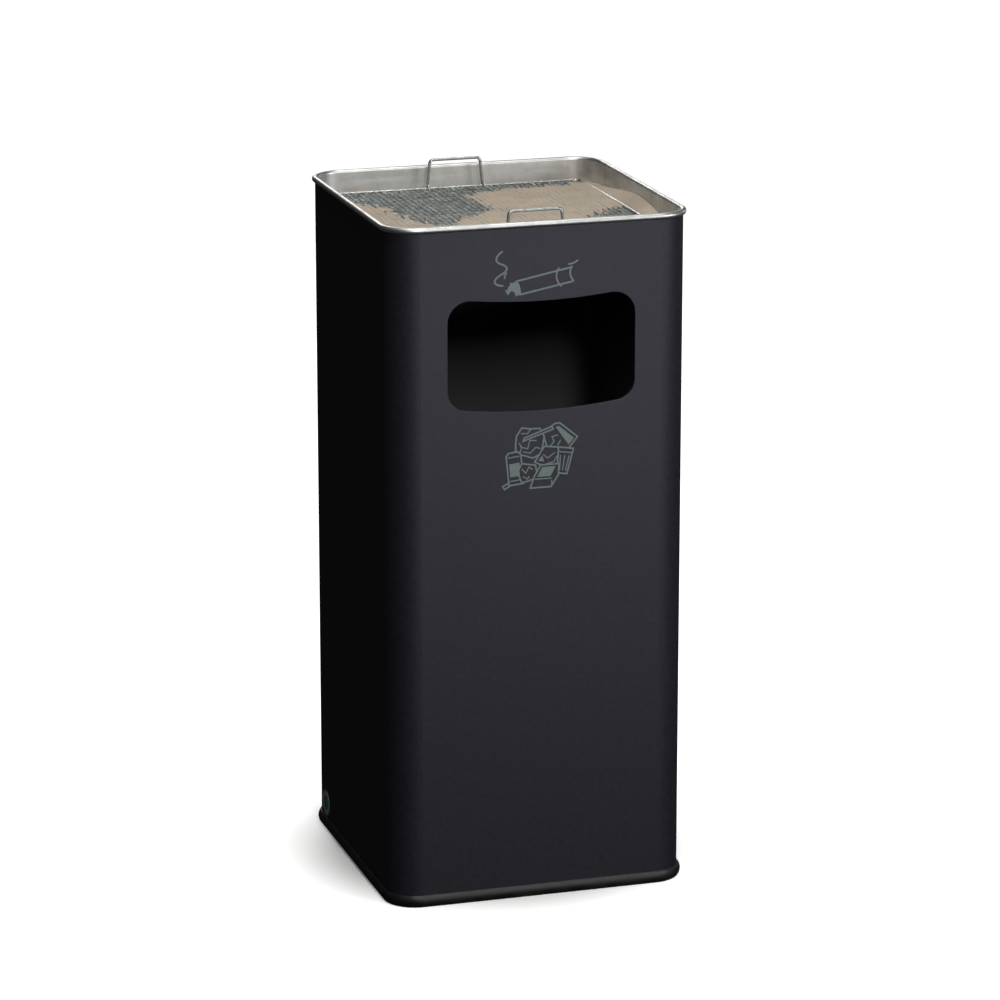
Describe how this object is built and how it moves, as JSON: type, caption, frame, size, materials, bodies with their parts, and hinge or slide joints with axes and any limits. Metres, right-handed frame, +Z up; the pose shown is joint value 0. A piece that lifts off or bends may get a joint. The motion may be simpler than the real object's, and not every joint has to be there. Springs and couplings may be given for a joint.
{
  "type": "ashtray bin",
  "caption": "Square free-standing litter bin with a post opening, a lift-out liner, and a lift-off sand ashtray on top with a wire sieve and folding handles.",
  "frame": {"origin": "on the floor, at the middle of the square shell", "axes": "+Z up, +X to the right when facing the opening, and the opening faces -Y"},
  "size_m": [0.3072, 0.3072, 0.6851],
  "materials": {
    "powder_coat": "matte",
    "edging_rubber": "satin",
    "stainless_sheet": "satin",
    "steel_wire": "satin",
    "mesh_wire": "matte",
    "galvanised_sheet": "matte",
    "sand": "matte",
    "print": "matte",
    "label": "satin"
  },
  "bodies": {
    "bin_shell": {"shell": "powder_coat", "floor_plate": "powder_coat", "base_trim": "edging_rubber", "smoking_pictogram": "print", "waste_pictogram": "print", "side_label": "label"},
    "liner": {"liner_body": "galvanised_sheet", "liner_floor": "galvanised_sheet", "liner_rim_wire": "steel_wire", "liner_ear_left": "galvanised_sheet", "liner_ear_right": "galvanised_sheet", "ear_rivets": "steel_wire"},
    "bail": {"liner_bail": "steel_wire"},
    "tray": {"ash_tray": "stainless_sheet", "tray_rim_wire": "steel_wire", "sand_bed": "sand"},
    "sieve": {"sieve_mesh": "mesh_wire", "sieve_frame": "steel_wire"},
    "rear_handle": {"sieve_handle_rear": "steel_wire"},
    "front_handle": {"sieve_handle_front": "steel_wire"}
  },
  "joints": [
    {"name": "liner_lift", "type": "slide", "parent": "bin_shell", "child": "liner", "axis": [0, 0, 1], "range_m": [0, 0.67]},
    {"name": "tray_lift", "type": "slide", "parent": "liner", "child": "tray", "axis": [0, 0, 1], "range_m": [0, 0.12]},
    {"name": "sieve_lift", "type": "slide", "parent": "tray", "child": "sieve", "axis": [0, 0, 1], "range_m": [0, 0.06]},
    {"name": "rear_handle_fold", "type": "hinge", "parent": "sieve", "child": "rear_handle", "pos_m": [-0.002, 0.1315, 0.655], "axis": [1, 0, 0], "range_deg": [0, 88]},
    {"name": "front_handle_fold", "type": "hinge", "parent": "sieve", "child": "front_handle", "pos_m": [-0.002, -0.1315, 0.655], "axis": [-1, 0, 0], "range_deg": [0, 88]},
    {"name": "bail_swing", "type": "hinge", "parent": "liner", "child": "bail", "pos_m": [0, 0, 0.405], "axis": [1, 0, 0], "range_deg": [0, 90]}
  ]
}
